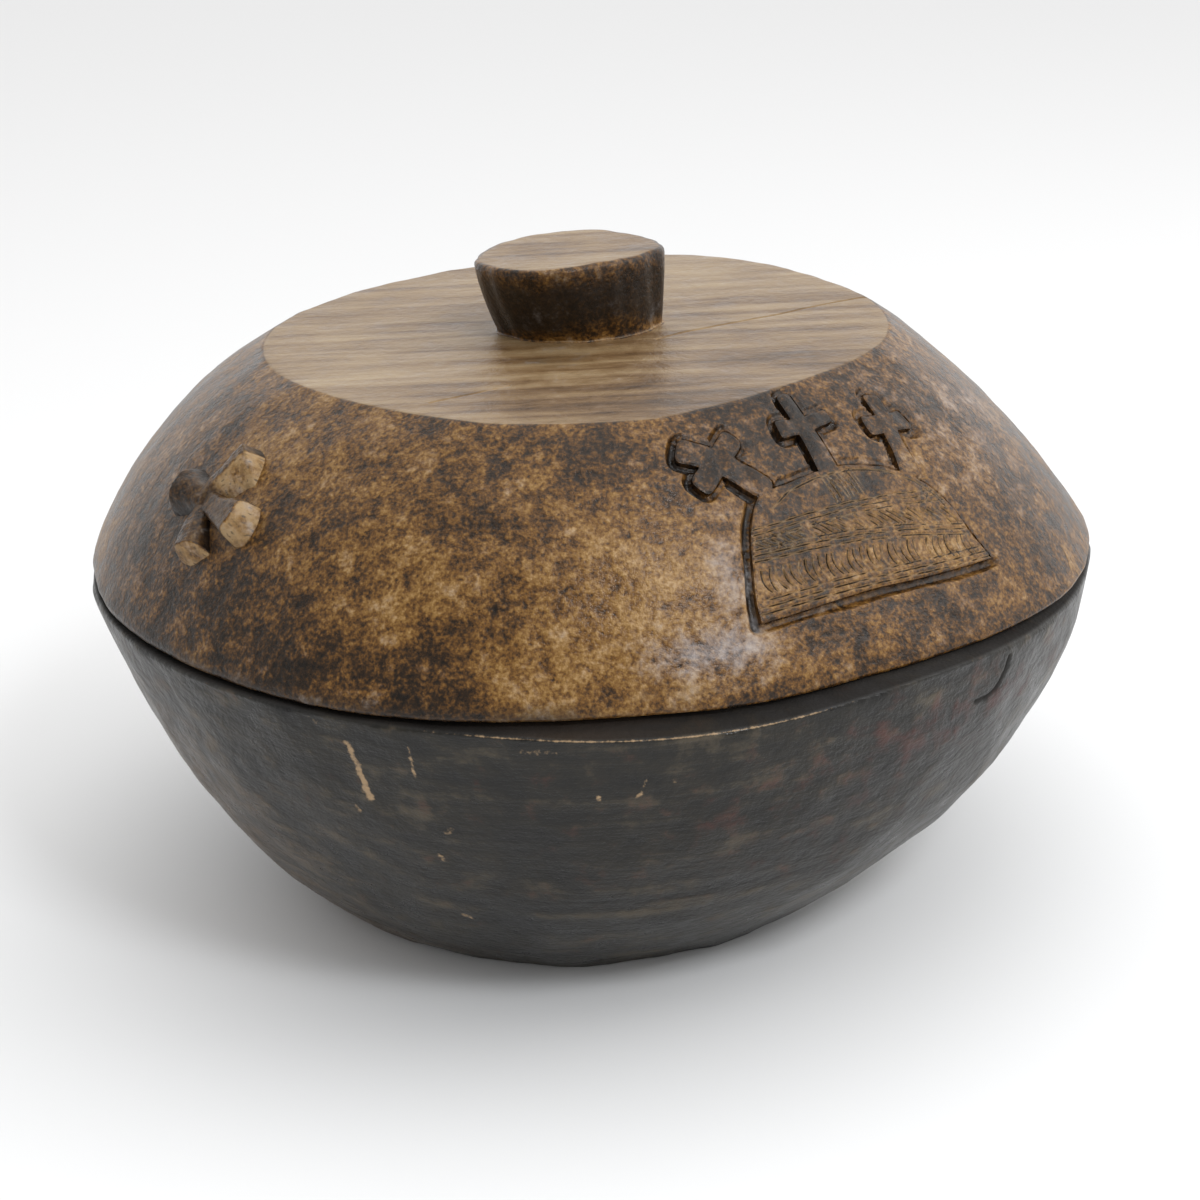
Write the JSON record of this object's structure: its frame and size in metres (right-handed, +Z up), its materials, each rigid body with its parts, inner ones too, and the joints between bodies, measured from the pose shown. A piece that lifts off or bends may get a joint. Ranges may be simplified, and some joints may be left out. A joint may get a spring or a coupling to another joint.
{
  "type": "lidded wooden food bowl",
  "caption": "Deep hand-carved wooden food bowl on a flat foot, with a domed lift-off lid that has a squat knob, a crown-and-crosses relief and a lobed boss.",
  "frame": {"origin": "centre of the flat foot, on the surface the bowl stands on", "axes": "+Z up along the bowl's axis and the way the lid lifts; -Y is the front; the crown relief faces between -Y and +X, the lobed boss between -Y and -X"},
  "size_m": [0.4, 0.4, 0.255],
  "materials": {
    "bowl_wood": "smoke-blackened and oiled hardwood, worn satin, with faint grain, scratches and old food stains",
    "lid_wood": "mottled brown oiled hardwood, hand-polished side, drier and greyer flat top"
  },
  "bodies": {
    "bowl": {"bowl": "bowl_wood"},
    "lid": {"lid": "lid_wood"}
  },
  "joints": [
    {"name": "lid_lift", "type": "slide", "parent": "bowl", "child": "lid", "axis": [0, 0, 1], "range_m": [0, 0.25]}
  ]
}
